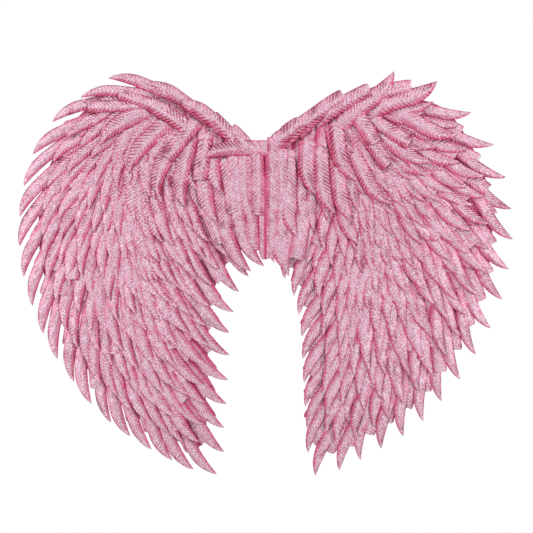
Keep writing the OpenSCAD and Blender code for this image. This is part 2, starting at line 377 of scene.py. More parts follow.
def outline(y, pointed, width):
    """Left and right edge of a feather at a distance y up from its tip."""
    w = width / 2
    if pointed:
        hook = HOOK * np.clip(1 - y / HOOK_LENGTH, 0, 1) ** 2
        right = TIP_WIDTH / 2 - HOOK + hook - 1.0 * np.sin(math.pi * np.clip(y / 70, 0, 1))
        narrowed = (2 * w - TIP_WIDTH) * (1 - (1 - np.clip(y / TAPER, 0, 1)) ** 2.3)
        left = right - narrowed - TIP_WIDTH * np.sqrt(np.clip(y / 4, 0.01, 1))
        return left, right
    near = (1 - np.clip(y / 5, 0, 1)) ** 2
    return -w + 1.8 * near, w - 1.2 * near


def feather(length, pointed, emboss, rng, side, ridge, width, covered=None, visible=VISIBLE):
    """Points [across, up from the tip, height, painted shade] of a feather with its tip down.

    Each row of points follows a pair of embossed barbs, from the crest outwards and tipwards.
    The half that faces the wings' centre slopes more and takes painted shade, crimson that stands
    in for shadow, as do the edges, the barbs' grooves and what lies further up than covered,
    where the next row overlaps it."""
    pitch = rng.uniform(3.8, 4.8) + 1.2 * np.clip(emboss - 0.6, 0, 1)
    slant = rng.uniform(0.7, 1.0)
    fine = np.arange(0, min(visible, length - 6), pitch / len(BARB))
    coarse = np.linspace(fine[-1], length, max(2, int((length - fine[-1]) / COARSE_STEP) + 1))[1:]
    v = np.concatenate([fine, coarse])[:, None]
    barb = np.concatenate([np.resize(BARB, len(fine)), np.full(len(coarse), 0.5)])[:, None]
    left, right = outline(v, pointed, width)
    crest_share = 0.38 if side > 0 else 0.60
    crest_share = crest_share + (0.5 - crest_share) * np.clip(1 - v / 24, 0, 1)
    crest = left + (right - left) * crest_share
    skew = slant * np.clip(v / 15, 0, 1) * np.clip((length - v) / 15, 0, 1)
    for _ in range(4):
        left = outline(np.clip(v - skew * (crest - left), 0, None), pointed, width)[0]
        right = outline(np.clip(v - skew * (right - crest), 0, None), pointed, width)[1]
    share = np.linspace(-1, 1, ACROSS + 1)[None, :]
    reach = np.where(share < 0, crest - left, right - crest)
    away = np.abs(share) ** 0.9
    x = crest + np.sign(share) * away * reach
    y = v - skew * away * reach
    full = np.clip(y / (26 if pointed else 10), 0.15, 1) * np.clip((length - v) / 16, 0.15, 1)
    lower = share < 0 if side > 0 else share > 0
    height = ridge * full * np.where(lower, 1 - away, 1 - 0.45 * away - 0.55 * away ** 5)
    strength = emboss * (0.75 + 0.4 * smooth_noise(x, y, rng, 4, 22, 60).clip(-1, 1))
    height += BARB_HEIGHT * strength * barb * np.clip(away * 4, 0, 1) * np.clip(1.25 - 0.45 * away, 0, 1)
    height += CRINKLE * smooth_noise(2.0 * x, 0.7 * y, rng, 10, 7, 24) * np.clip(y / 10, 0.3, 1)
    frill = 0.5 * np.clip(emboss - 0.4, 0, 1) * (barb - 0.5) * away ** 6
    x = x + frill * np.sign(share) * np.clip(y / 16, 0, 1)
    if not pointed:
        ragged = 0.3 * np.sin(1.9 * x + rng.uniform(0, 6)) + 0.9 * np.sin(0.3 * x + rng.uniform(0, 6))
        y = y + ragged * np.clip(1 - v / 6, 0, 1)
    # Painted shade: crimson on the half that faces the centre, along the edges and in the barbs' grooves,
    # made uneven by noise
    painted_shade = np.where(lower, 0.30 + 0.42 * away ** 2, 0.0) * np.clip(away * 6, 0, 1)
    painted_shade = painted_shade + EDGE_SHADE * away ** 6
    lines = BARB_SHADE * np.clip(emboss - 0.35, 0, 0.8) * np.clip(0.5 - barb, 0, 1)
    painted_shade = painted_shade + lines * np.clip(away * 3, 0, 1)
    painted_shade = painted_shade + 0.12 * smooth_noise(x, y, rng, 5, 6, 24)
    # Painted shade where the next row covers the feather
    if covered:
        painted_shade = painted_shade + COVERED_SHADE * np.clip((y - covered) / COVERED_FADE, 0, 1)
    return np.stack([x, y + 0 * x, height, np.clip(painted_shade, 0, 1)], -1)


def close_sheet(top, thickness=SHEET_T):
    """Closed thin shell under a grid of points, as [points, faces]; a point's third value is its height."""
    rows, cols = top.shape[:2]
    bottom = top.copy()
    bottom[..., 2] -= thickness
    n = rows * cols
    points = np.concatenate([top.reshape(n, -1), bottom.reshape(n, -1)])
    index = np.arange(n).reshape(rows, cols)
    quads = np.stack([index[:-1, :-1], index[:-1, 1:], index[1:, 1:], index[1:, :-1]], -1).reshape(-1, 4)
    rim = np.concatenate([index[0, :-1], index[:-1, -1], index[-1, :0:-1], index[:0:-1, 0]])
    after = np.roll(rim, -1)
    walls = np.stack([rim, rim + n, after + n, after], -1)
    return points, np.concatenate([quads, quads[:, ::-1] + n, walls])


def put_feather(local, tip, degrees, side, lift, slope, roll=0.0, sway=0.0, curl=0.0, sink=0.0):
    """Local feather points to the wing: lift is the root's height, slope raises the tip above it,
    and sink lets the root dive under its neighbours."""
    x, y, h = local[..., 0], local[..., 1], local[..., 2]
    length = y.max()
    x = x + sway * np.sin(math.pi * y / length)
    h = h + lift + slope * (length - y) / length + math.tan(math.radians(roll)) * x
    h = h + curl * np.clip(1 - y / CURL_LENGTH, 0, 1) ** 2
    h = h - sink * np.clip((y - length + SINK_LENGTH) / SINK_LENGTH, 0, 1) ** 2
    a = math.radians(side * degrees)
    px = side * tip[0] + x * math.cos(a) - y * math.sin(a)
    pz = tip[1] + x * math.sin(a) + y * math.cos(a)
    return np.stack([px, -h, pz, local[..., 3]], -1)


def shell(top, bottom):
    """Closed shell in metres between two grids of points in millimetres."""
    points = np.concatenate([top.reshape(-1, 3), bottom.reshape(-1, 3)])
    _, faces = close_sheet(np.zeros(top.shape), 0)
    return points * MM, faces


def join(parts):
    """Points in metres, faces and painted shade of several closed parts, as new_piece takes them."""
    points, faces, base = [], [], 0
    for p, f in parts:
        points.append(p.reshape(-1, p.shape[-1]))
        faces.append(f + base)
        base += len(points[-1])
    points = np.concatenate(points)
    painted_shade = points[:, 3] if points.shape[1] > 3 else np.zeros(len(points))
    return points[:, :3] * MM, np.concatenate(faces), painted_shade


# ---- feather fringe of a wing

PANEL_Y = 10.8             # depth of the base panel's show face, as a height towards -Y
FEATHER_LENGTH = 86.0
SHORTEST = 26.0            # feathers with less room than this are left out
SQUARE_SHORTER = 28.0      # how much shorter a square-cut feather is
LONGEST_ROOM = 110.0
ROOT_CLEARANCE = 12.0      # how far a row feather's root stays inside the wing
SEAM_REACH = 21.0          # feathers that come closer than this to the seam bend across it
SEAM_GAP = 0.8             # half of the crease between the wings
MOST_MOVED = 14.0          # a feather that crosses the seam further than this is left out
EMBOSS_CENTRE = (80.0, 90.0)
EMBOSS_SPREAD = 100.0
ARCH_POINTS = 46           # points of the outline's edge from the seam to past the wrist
ARCH_END_X = 215.0
ARCH_MARGIN = 4.0
# Rim row and other rows: spread of heading and place, how far the tips stand up, widths of pointed
# and square-cut feathers, and the length that the next row leaves in view
RIM_ROW = {"turn": 1.2, "shift": 0.5, "inset": 0.5, "rise": (2.0, 4.0), "pointed": 15.5,
           "square": 19.5, "pointed_shown": 50, "square_shown": 26}
OTHER_ROW = {"turn": 2.2, "shift": 1.5, "inset": 0.0, "rise": (4.8, 6.8), "pointed": 16.5,
             "square": 16.5, "pointed_shown": 42, "square_shown": 18}


def emboss_at(p):
    """Height of the embossed barbs, strongest under the arch and at the seam."""
    apart = (p[0] - EMBOSS_CENTRE[0]) ** 2 + (p[1] - EMBOSS_CENTRE[1]) ** 2
    return 0.66 + 0.80 * math.exp(-apart / (2 * EMBOSS_SPREAD ** 2))


def over_the_arch(points, side):
    """Whether part of a feather stands above the wing's upper edge."""
    x = side * points[:, 0]
    top = np.interp(x, EDGE[:ARCH_POINTS, 0], EDGE[:ARCH_POINTS, 1])
    return bool(((points[:, 2] > top - ARCH_MARGIN) & (x < ARCH_END_X)).any())


def sort_feather(part, side, wing_parts, seam_parts, moved=True):
    """Keeps a feather on its own side of the seam, and in the piece that moves as it does."""
    points = part[0]
    nearest = (side * points[:, 0]).min()
    if moved and nearest < SEAM_GAP:
        if nearest < SEAM_GAP - MOST_MOVED:
            return
        points[:, 0] += side * (SEAM_GAP - nearest)
    if nearest < SEAM_REACH:
        # Painted shade: crimson along the seam, where the gap between the wings lies in shadow
        painted_seam_shade = np.clip(1.7 - np.abs(points[:, 0]) / 1.6, 0, 1)
        points[:, 3] = np.maximum(points[:, 3], painted_seam_shade)
    (seam_parts if nearest < SEAM_REACH else wing_parts).append(part)


def build_row(side, k, seam_parts):
    rng = np.random.default_rng(1000 * (side + 2) + k)
    style = OTHER_ROW if k else RIM_ROW
    parts = []
    for p, degrees, pointed in row_places(side, k, rng):
        kind = "pointed" if pointed else "square"
        degrees += rng.normal(0, style["turn"])
        tip = p + rng.normal(0, style["shift"], 2) + style["inset"] * upward(degrees)
        length = FEATHER_LENGTH + rng.uniform(-4, 6) - (0 if pointed else SQUARE_SHORTER)
        if k:
            length = min(length, room_above(tip, degrees, LONGEST_ROOM) - ROOT_CLEARANCE)
        if length < SHORTEST:
            continue
        ridge = rng.uniform(1.4, 2.2) if pointed else rng.uniform(0.9, 1.5)
        grid = feather(length, pointed, emboss_at(tip) * rng.uniform(0.8, 1.3), rng, side, ridge,
                       style[kind] * rng.uniform(0.96, 1.06), covered=style[kind + "_shown"])
        points, faces = close_sheet(grid)
        slope = rng.uniform(*style["rise"]) * length / FEATHER_LENGTH
        placed = put_feather(points, tip, degrees, side, PANEL_Y + (1.2 if pointed else 0.0), slope,
                             roll=rng.normal(0, 3), sway=rng.normal(0, 1.0), curl=rng.normal(0.3, 1.0))
        if k == 0 or not over_the_arch(placed, side):
            sort_feather((placed, faces), side, parts, seam_parts)
    return join(parts)


# Feathers that lie along the arch, from the seam outwards: [tip x, tip z, degrees from straight
# down towards the outside, pointed, length], and a width where it isn't the usual one
ARCH = {
    "right": [
        [26, 72, 146, False, 30], [48, 87, 136, False, 52], [72, 102, 131, False, 66],
        [103, 122, 127, False, 78], [135, 132, 121, False, 84], [168, 153, 130, True, 98],
        [192, 134, 106, False, 84], [222, 139, 106, True, 96],
    ],
    "left": [
        [30, 62, 128, False, 34, 18], [47, 80, 140, False, 46, 18], [71, 97, 137, False, 60, 18],
        [118, 115, 130, True, 86, 19], [157, 138, 126, True, 96, 17], [204, 144, 109, True, 100, 15.5],
        [190, 124, 108, False, 84, 16], [239, 121, 93, True, 94, 14.5], [230, 106, 88, False, 84, 16],
        [150, 112, 124, False, 70, 20],
    ],
}
# Feathers that hang from the arch line over the rows, in the same form
HANGING = {
    "right": [
        [40, -90, -10, False, 92, 24], [30, -30, 0, False, 86, 24],
        [250, 70, 64, True, 92], [214, 36, 50, True, 90], [189, 60, 58, False, 70],
        [162, -19, 27, True, 92], [160, 32, 36, False, 72], [121, -71, 9, True, 86],
        [114, -44, 9, True, 96], [120, 12, 15, True, 90], [90, -31, 5, True, 98],
        [100, 30, 8, False, 66], [65, -8, -2, True, 80], [42, -60, 4, True, 92],
        [142, 60, 30, False, 60],
    ],
    "left": [
        [58, -72, -26, False, 66, 19], [30, -30, -4, False, 88, 24], [48, -50, -10, False, 90, 24],
        [176, 22, 44, True, 96], [214, 58, 62, True, 92], [140, -8, 26, True, 96],
        [104, -22, 12, True, 96], [128, 40, 38, False, 70], [62, -42, -6, True, 98],
        [84, 12, 10, False, 66], [40, -30, -6, False, 84], [52, -6, -3, True, 62],
    ],
}
# Feathers over the seam, on top of all others: [tip x, tip z, degrees, pointed, length, width]
SEAM = {
    "right": [
        [12, -30, 0, False, 92, 21], [9, -82, 0, False, 110, 17],
        [16, -86, 0, False, 60, 18], [10, -95, 2, True, 70, 12], [25, -104, 0, True, 90, 18],
        [31, -112, -8, True, 92, 18], [27, -40, 2, True, 98, 19], [20, -64, 0, False, 118, 17],
        [8, -46, 0, False, 115, 15],
    ],
    "left": [
        [24, -20, 0, False, 78, 26], [30, -66, -6, False, 90, 18], [15, -78, 0, False, 110, 17],
        [0, -84, 0, False, 110, 16], [-2, -88, -4, False, 60, 18], [19, -107, -23, True, 92, 19],
        [3, -99, -19, True, 92, 18], [33, -44, -5, False, 98, 20], [14, -40, -3, True, 96, 19],
        [9, -34, 0, False, 94, 17], [80, 41, 89, True, 83, 21],
    ],
}
TOP_LIFT = PANEL_Y + 7.5
LAYER = 0.15               # how much higher each listed feather lies than the one before it
BOW = {-1: 1.0, 1: 3.5}    # how far each wing's arch feathers bow sideways


def lay(side, listed, rng, lift, slope, wing_parts, seam_parts, moved=True, bow=0.0, sink=4.0):
    """Feathers placed one by one over the rows, each a little above the one before it."""
    for n, (x, z, degrees, pointed, length, *width) in enumerate(listed):
        width = width[0] if width else (21 if pointed else 20) * rng.uniform(0.95, 1.08)
        tip = np.array([x, z]) + rng.normal(0, 0.8, 2)
        grid = feather(length, pointed, emboss_at(tip) * rng.uniform(0.95, 1.25), rng, side,
                       rng.uniform(2.0, 3.0), width, visible=length)
        points, faces = close_sheet(grid)
        placed = put_feather(points, tip, degrees + rng.normal(0, 1.0), side, lift + LAYER * n,
                             slope, roll=rng.normal(0, 2), sway=side * bow + rng.normal(0, 0.8),
                             curl=0.3, sink=sink)
        sort_feather((placed, faces), side, wing_parts, seam_parts, moved)


# ---- fabric panels of a wing

PANEL_X = 16.0             # inner edge of the panels, beside the hinge tunnel
PANEL_SET_BACK = {"base_panel": 41.5, "back_cover": 42.0}   # how far they end inside the tips
PANEL_T = 1.2
PANEL_GRID = (190, 130)    # rows and columns of points
PANEL_HEIGHT = {"base_panel": PANEL_Y - 0.6, "back_cover": -5.8}
WIRE_SET_BACK = 46.0
WIRE_RIDGE = 0.9           # how far the fabric stands up over the wire
SEAM_APART = 2.8           # distance of the channel's seams from the wire
HINGE_FREE = 24.0          # the ridge and its seams start this far from the wings' centre


def panel_ring(set_back, count=420):
    """Outline of a panel of the right wing, in even steps."""
    stations = catmull(STATIONS, np.linspace(0, LAST_U, 240))
    a = np.radians(stations[:, 3])
    away = set_back * stations[:, 4:5] * np.stack([-np.sin(a), np.cos(a)], 1)
    edge = stations[:, :2] + away
    edge[:, 0] = np.maximum(edge[:, 0], PANEL_X)
    path = np.vstack([edge, [[PANEL_X, edge[-1, 1]], [PANEL_X, edge[0, 1]]], edge[:1]])
    return even_ring(path, count)


def build_panel(side, kind):
    """A wing panel of level rows of points, pressed over the wire and sewn on both sides of it."""
    rng = np.random.default_rng(50 + side + 10 * (kind == "back_cover"))
    ring = panel_ring(PANEL_SET_BACK[kind])
    grid = level_grid(ring, *PANEL_GRID, inset=0.5)
    x, z = grid[..., 0], grid[..., 1]
    edge = distance_to(ring, x, z)
    wire_at = WIRE_SET_BACK - PANEL_SET_BACK[kind]
    past_hinge = np.clip((x - HINGE_FREE) / 16, 0, 1)
    relief = WIRE_RIDGE * groove(edge - wire_at, 2.0) * past_hinge
    for seam in (wire_at - SEAM_APART, wire_at + SEAM_APART):
        relief -= 0.35 * groove(edge - seam, 0.9) * past_hinge
    relief += 0.45 * smooth_noise(x, z, rng, 14, 26, 110) * np.clip(edge / 20, 0, 1)
    relief += 0.12 * smooth_noise(x, z, rng, 12, 9, 24)
    relief -= 0.5 * groove(edge, 1.6)
    top = np.stack([x, z, PANEL_HEIGHT[kind] + relief], -1)
    facing = -1 if kind == "base_panel" else 1
    points, faces = close_sheet(top if side * facing < 0 else top[:, ::-1], PANEL_T)
    return np.stack([side * points[:, 0], facing * points[:, 2], points[:, 1]], 1) * MM, faces


# ---- stitches

STITCH_LENGTH = 3.0
STITCH_PITCH = 4.2
STITCH_R = 0.35
# Cross-sections of a stitch: [share of its length, share of its radius, rise in radii]
STITCH_SHAPE = [[0, 0.2, -0.3], [0.15, 0.9, 0.1], [0.5, 1.0, 0.35], [0.85, 0.9, 0.1], [1, 0.2, -0.3]]
CHANNEL_Y = -5.0           # where the channel's thread lies on the wearer's side


def stitch(a, b, out):
    """One sewn stitch from a to b, a six-sided thread that rises along out in its middle."""
    along = (b - a) / np.linalg.norm(b - a)
    across = np.cross(along, out)
    rings = []
    angles = np.radians(np.arange(0, 360, 60))[:, None]
    for t, r, rise in STITCH_SHAPE:
        middle = a + t * (b - a) + rise * STITCH_R * out
        rings.append(middle + r * STITCH_R * (np.cos(angles) * across + np.sin(angles) * out))
    ends = [[3, 2, 1, 0], [5, 4, 3, 0], [24, 25, 26, 27], [24, 27, 28, 29]]
    return np.concatenate(rings), np.vstack([ring_quads(np.arange(30).reshape(5, 6)), ends])


def sew(path, out):
    """Stitches in even steps along a path of 3-D points."""
    path = np.asarray(path, float)
    starts = np.arange(0, run_along(path)[-1] - STITCH_LENGTH, STITCH_PITCH)
    heads, feet = points_at(path, starts), points_at(path, starts + STITCH_LENGTH)
    return [stitch(a, b, np.array(out, float)) for a, b in zip(heads, feet)]


def panel_stitches(side):
    """The two seams that hold the wire in its channel, as seen on the wearer's side."""
    parts = []
    for apart in (-SEAM_APART, SEAM_APART):
        ring = panel_ring(WIRE_SET_BACK + apart, 300)
        ring = ring[ring[:, 0] > 30]
        start = np.argmax(np.linalg.norm(ring - np.roll(ring, 1, axis=0), axis=1))
        ring = np.roll(ring, -start, axis=0)
        path = np.stack([side * ring[:, 0], np.full(len(ring), CHANNEL_Y), ring[:, 1]], 1)
        parts += sew(path, (0, 1, 0))
    return join(parts)


# ---- spine

PAD = (16.0, 50.0, 8.0)    # half width, half height and corner radius of the spine pad
PAD_SEAM = 4.5             # distance of the seam round the pad from its edge
QUILT_Z = 22.0             # height of the seams across it, above and below its middle


def rounded_ring(half_w, half_h, radius, count=160):
    """Outline of a rounded rectangle, in even steps."""
    corners = []
    for cx, cz, start in ((1, 1, 0), (-1, 1, 90), (-1, -1, 180), (1, -1, 270)):
        angles = np.radians(np.linspace(start, start + 90, 12))
        centre = np.array([cx * (half_w - radius), cz * (half_h - radius)])
        corners.append(centre + radius * np.stack([np.cos(angles), np.sin(angles)], 1))
    return even_ring(np.vstack(corners + [corners[0][:1]]), count)


def build_pad():
    """Crowned felt pad: thin at its bound edge, quilted by a seam round it and two across it."""
    rng = np.random.default_rng(5)
    ring = rounded_ring(*PAD)
    grid = level_grid(ring, 110, 44, inset=0.15)
    x, z = grid[..., 0], grid[..., 1]
    edge = distance_to(ring, x, z)
    crown = 1.5 * (1 - np.exp(-edge / 3.0))
    crown -= 0.9 * groove(edge - PAD_SEAM, 1.0)
    for level in (-QUILT_Z, QUILT_Z):
        crown -= 0.8 * groove(z - level, 1.1)
    crown += 0.10 * smooth_noise(x, z, rng, 12, 5, 16)
    top = np.stack([x, crown - 1.2, z], -1)
    bottom = np.stack([x, np.full_like(x, -1.9), z], -1)
    return shell(top[:, ::-1], bottom[:, ::-1])


def build_pad_stitches():
    """Thread round the pad, across it, and in a crossed box over each strap end."""
    ring = rounded_ring(PAD[0] - PAD_SEAM, PAD[1] - PAD_SEAM, PAD[2] - 4)
    path = np.vstack([ring, ring[:1]])
    parts = sew(np.stack([path[:, 0], np.full(len(path), -0.55), path[:, 1]], 1), (0, 1, 0))
    for z in (-QUILT_Z, QUILT_Z):
        parts += sew([[-11, -0.45, z], [11, -0.45, z]], (0, 1, 0))
    for x0 in (-9, 2):
        for z0 in (28, -44):
            x1, z1 = x0 + 7, z0 + 12
            box = [[x0, z0], [x1, z0], [x1, z1], [x0, z1], [x0, z0], [x1, z1]]
            parts += sew([[x, 0.3, z] for x, z in box], (0, 1, 0))
    return join(parts)


HINGE_X, HINGE_Y = 10.0, -8.0
TUNNEL_OUTER, TUNNEL_INNER = 3.15, 1.62   # radii of a tunnel's wall
TUNNEL_H = 88.0
TUNNEL_ROWS, TUNNEL_COLS = 90, 32
WEB_COLS = 30
COVER_HALF_W = 12.0


def tube_wall(outer, inner):
    """Closed wall of a tube between two stacks of rings."""
    n, m = outer.shape[:2]
    points = np.concatenate([outer.reshape(-1, 3), inner.reshape(-1, 3)])
    index = np.arange(n * m).reshape(n, m)
    turned = np.roll(index, -1, axis=1)
    skin = ring_quads(index)
    lining = skin[:, ::-1] + n * m
    foot = np.stack([index[0], index[0] + n * m, turned[0] + n * m, turned[0]], -1)
    head = np.stack([index[-1], turned[-1], turned[-1] + n * m, index[-1] + n * m], -1)
    return points, np.concatenate([skin, lining, foot, head])


def build_hinge_panel():
    """Fabric web with a sewn tunnel on each side, as cross-sections that pucker along the seam."""
    rng = np.random.default_rng(9)
    zs = np.linspace(-TUNNEL_H / 2, TUNNEL_H / 2, TUNNEL_ROWS)[:, None]
    turn = np.radians(np.linspace(0, 360, TUNNEL_COLS + 1)[:-1])[None, :]
    pucker = 0.14 * np.sin(2 * math.pi * zs / STITCH_PITCH + 3 * np.cos(turn)) * (0.5 + 0.5 * np.cos(turn))
    parts = []
    for side in (-1, 1):
        walls = [np.stack([side * HINGE_X + r * np.cos(turn), HINGE_Y + r * np.sin(turn), zs + 0 * turn], -1)
                 for r in (TUNNEL_OUTER - 0.18 + pucker, TUNNEL_INNER + 0 * pucker)]
        parts.append(tube_wall(*walls))
    x = np.linspace(-HINGE_X + 2.9, HINGE_X - 2.9, WEB_COLS)[None, :] + 0 * zs
    z = zs + 0 * x
    wave = 0.22 * smooth_noise(x, z, rng, 8, 8, 30) - 0.25 * groove(np.abs(x) - 5.2, 0.6)
    top = np.stack([x, HINGE_Y - 0.6 - wave, z], -1)
    bottom = np.stack([x, HINGE_Y + 0.6 + wave, z], -1)
    points, faces = shell(top, bottom)
    return join(parts + [(points / MM, faces)])[:2]


def build_seam_cover():
    """Strip of fabric over the hinge panel, sewn down beside both edges."""
    rng = np.random.default_rng(12)
    grid = level_grid(rounded_ring(COVER_HALF_W, TUNNEL_H / 2, 4), 90, 30, inset=0.15)
    x, z = grid[..., 0], grid[..., 1]
    relief = 0.25 * smooth_noise(x, z, rng, 10, 10, 40) - 0.3 * groove(np.abs(x) - 9.5, 0.7)
    top = np.stack([x, -12.2 - relief, z], -1)
    bottom = np.stack([x, -11.7 - relief, z], -1)
    return shell(top, bottom)


# ---- shoulder straps

STRAP_X, STRAP_Y = 7.0, 1.0
SPLAY = math.radians(25.0)
STRAP_W, STRAP_T = 12.0, 1.2
TAB_Y = -2.6
# Strap loop from its upper to its lower end: [distance from its hinge line, z]
STRAP_ROUTE = [
    [0, 53], [5, 60], [20, 64], [50, 60], [88, 45], [122, 20], [140, -10],
    [132, -39], [104, -56], [66, -61], [30, -60], [6, -58], [0, -54],
]


# The band's turns behind the pad, above and below: [y, z], with one more point at the loop's end
UPPER_TURN = [[TAB_Y, 30], [TAB_Y, 40], [TAB_Y, 50], [-1.4, 52.2], [STRAP_Y, 53], [4, 57]]
LOWER_TURN = [[5, -57], [STRAP_Y, -54], [-1.4, -52.6], [TAB_Y, -50.4], [TAB_Y, -40], [TAB_Y, -30]]
STRAP_STEP = 0.8           # distance of the band's cross-sections
STRAP_COLS = 41            # points across the band
CORDS = 8
RIB_PITCH = 2.4


def strap_path(side):
    """Middle line of a band, in even steps, with the distance of each point along it."""
    loop = catmull(STRAP_ROUTE, np.linspace(0, len(STRAP_ROUTE) - 1, 700))
    route = np.stack([side * STRAP_X + loop[:, 0] * side * math.sin(SPLAY),
                      STRAP_Y + loop[:, 0] * math.cos(SPLAY), loop[:, 1]], 1)
    upper = catmull(UPPER_TURN, np.linspace(0, 4, 90))
    lower = catmull(LOWER_TURN, np.linspace(1, 5, 90))
    upper, lower = [np.insert(turn, 0, side * STRAP_X, axis=1) for turn in (upper, lower)]
    path = np.vstack([upper[:-1], route, lower[1:]])
    total = run_along(path)[-1]
    at = np.linspace(0, total, int(total / STRAP_STEP))
    return points_at(path, at), at


def build_strap(side):
    """Flat woven elastic: lengthwise cords, cross ribs, and both ends turned in behind the pad."""
    path, at = strap_path(side)
    along = np.gradient(path, axis=0)
    along /= np.linalg.norm(along, axis=1)[:, None]
    a = SPLAY * np.clip((path[:, 1:2] - STRAP_Y + 1.5) / 8, 0, 1)
    across = np.hstack([np.cos(a), -side * np.sin(a), 0 * a])
    across -= along * (across * along).sum(1)[:, None]
    across /= np.linalg.norm(across, axis=1)[:, None]
    out = np.cross(across, along)
    cols = np.linspace(-0.5, 0.5, STRAP_COLS)
    cords = 0.11 * np.abs(np.sin(math.pi * CORDS * (cols + 0.5)))
    ribs = 0.06 * np.sin(2 * math.pi * at / RIB_PITCH)[:, None]
    half = (STRAP_T / 2 - 0.16 + cords + ribs) * np.clip((0.5 - np.abs(cols)) * 12, 0.45, 1)
    flat = path[:, None, :] + STRAP_W * cols[None, :, None] * across[:, None, :]
    rise = half[..., None] * out[:, None, :]
    return shell(flat + rise, flat - rise)


# ---- materials


def principled(name, roughness, metallic=0.0):
    material = bpy.data.materials.new(name)
    material.use_nodes = True
    shader = material.node_tree.nodes["Principled BSDF"]
    shader.inputs["Roughness"].default_value = roughness
    shader.inputs["Metallic"].default_value = metallic
    return material, material.node_tree, shader


def node(tree, kind, **inputs):
    n = tree.nodes.new(kind)
    for key, value in inputs.items():
        n.inputs[key.replace("_", " ")].default_value = value
    return n


def noise(tree, where, scale, detail=3.0, roughness=0.6):
    n = node(tree, "ShaderNodeTexNoise", Scale=scale, Detail=detail, Roughness=roughness)
    tree.links.new(where, n.inputs["Vector"])
    return n.outputs["Fac"]


def ramp(tree, value, *stops):
    """Colour ramp of (position, (r, g, b)) stops."""
    n = tree.nodes.new("ShaderNodeValToRGB")
    points = n.color_ramp.elements
    while len(points) < len(stops):
        points.new(0.5)
    for point, (position, colour) in zip(points, stops):
        point.position = position
        point.color = (*colour, 1)
    tree.links.new(value, n.inputs["Fac"])
    return n.outputs["Color"]


def bumps(tree, shader, *layers):
    """Bump layers of (height, strength, distance in metres), stacked on the shader's normal."""
    normal = None
    for height, strength, distance in layers:
        n = node(tree, "ShaderNodeBump", Strength=strength, Distance=distance)
        tree.links.new(height, n.inputs["Height"])
        if normal:
            tree.links.new(normal, n.inputs["Normal"])
        normal = n.outputs["Normal"]
    tree.links.new(normal, shader.inputs["Normal"])


def position_in(tree):
    return tree.nodes.new("ShaderNodeTexCoord").outputs["Object"]


FOIL_LIGHT = (0.75, 0.42, 0.53)
FOIL_PALE = (0.78, 0.66, 0.74)
# Crimson that the painted shade mixes in, for the foil's shaded halves, edges and crevices
FOIL_PAINTED_SHADE = (0.60, 0.065, 0.18)
FOIL_MAUVE = (0.56, 0.21, 0.35)


def foil():
    """Metallic pink foil on crinkled nonwoven fabric, mixed towards crimson by the painted shade."""
    material, tree, shader = principled("pink_foil", 0.42, 0.85)
    link = tree.links.new
    where = position_in(tree)
    patches = noise(tree, where, 620.0, 3.0, 0.65)
    light = ramp(tree, patches, (0.38, FOIL_MAUVE), (0.48, FOIL_LIGHT), (0.58, FOIL_PALE))
    # Painted shade: the mesh attribute mixes the colour towards crimson
    painted_shade = tree.nodes.new("ShaderNodeAttribute")
    painted_shade.attribute_name = "painted_shade"
    mix = tree.nodes.new("ShaderNodeMix")
    mix.data_type = "RGBA"
    link(painted_shade.outputs["Fac"], mix.inputs["Factor"])
    link(light, mix.inputs["A"])
    mix.inputs["B"].default_value = (*FOIL_PAINTED_SHADE, 1)
    link(mix.outputs["Result"], shader.inputs["Base Color"])
    gloss = node(tree, "ShaderNodeMapRange", To_Min=0.34, To_Max=0.54)
    link(patches, gloss.inputs["Value"])
    link(gloss.outputs["Result"], shader.inputs["Roughness"])
    bumps(tree, shader, (noise(tree, where, 900.0, 3.0, 0.65), 0.5, 0.0003),
          (noise(tree, where, 340.0, 3.0, 0.6), 0.7, 0.0011))
    return material


def fabric(name, dark, light, roughness, fibre_scale, sheen):
    """Nonwoven or felted fabric: mottled colour, tangled fibres and a soft sheen."""
    material, tree, shader = principled(name, roughness)
    where = position_in(tree)
    colour = ramp(tree, noise(tree, where, 60.0, 6.0, 0.7), (0.3, dark), (0.7, light))
    tree.links.new(colour, shader.inputs["Base Color"])
    shader.inputs["Sheen Weight"].default_value = sheen
    shader.inputs["Sheen Roughness"].default_value = 0.5
    bumps(tree, shader, (noise(tree, where, fibre_scale, 6.0, 0.75), 0.7, 0.0006),
          (noise(tree, where, fibre_scale / 5, 3.0, 0.6), 0.35, 0.0015))
    return material


def metal(name, dark, light, roughness):
    """Drawn or crimped metal with fine marks along it."""
    material, tree, shader = principled(name, roughness, 1.0)
    where = tree.nodes.new("ShaderNodeMapping")
    tree.links.new(position_in(tree), where.inputs["Vector"])
    where.inputs["Scale"].default_value = (1, 1, 0.06)
    marks = noise(tree, where.outputs["Vector"], 2400.0, 3.0, 0.6)
    tree.links.new(ramp(tree, marks, (0.35, dark), (0.65, light)), shader.inputs["Base Color"])
    gloss = node(tree, "ShaderNodeMapRange", To_Min=roughness - 0.08, To_Max=roughness + 0.1)
    tree.links.new(marks, gloss.inputs["Value"])
    tree.links.new(gloss.outputs["Result"], shader.inputs["Roughness"])
    bumps(tree, shader, (marks, 0.25, 0.0001))
    return material


def board():
    """Pressed white board with faint fibres."""
    material, tree, shader = principled("pressed_board", 0.75)
    where = position_in(tree)
    fibres = noise(tree, where, 400.0, 5.0, 0.7)
    colour = ramp(tree, fibres, (0.35, (0.62, 0.60, 0.56)), (0.6, (0.80, 0.79, 0.76)))
    tree.links.new(colour, shader.inputs["Base Color"])
    bumps(tree, shader, (noise(tree, where, 1500.0, 3.0, 0.6), 0.3, 0.0002))
    return material


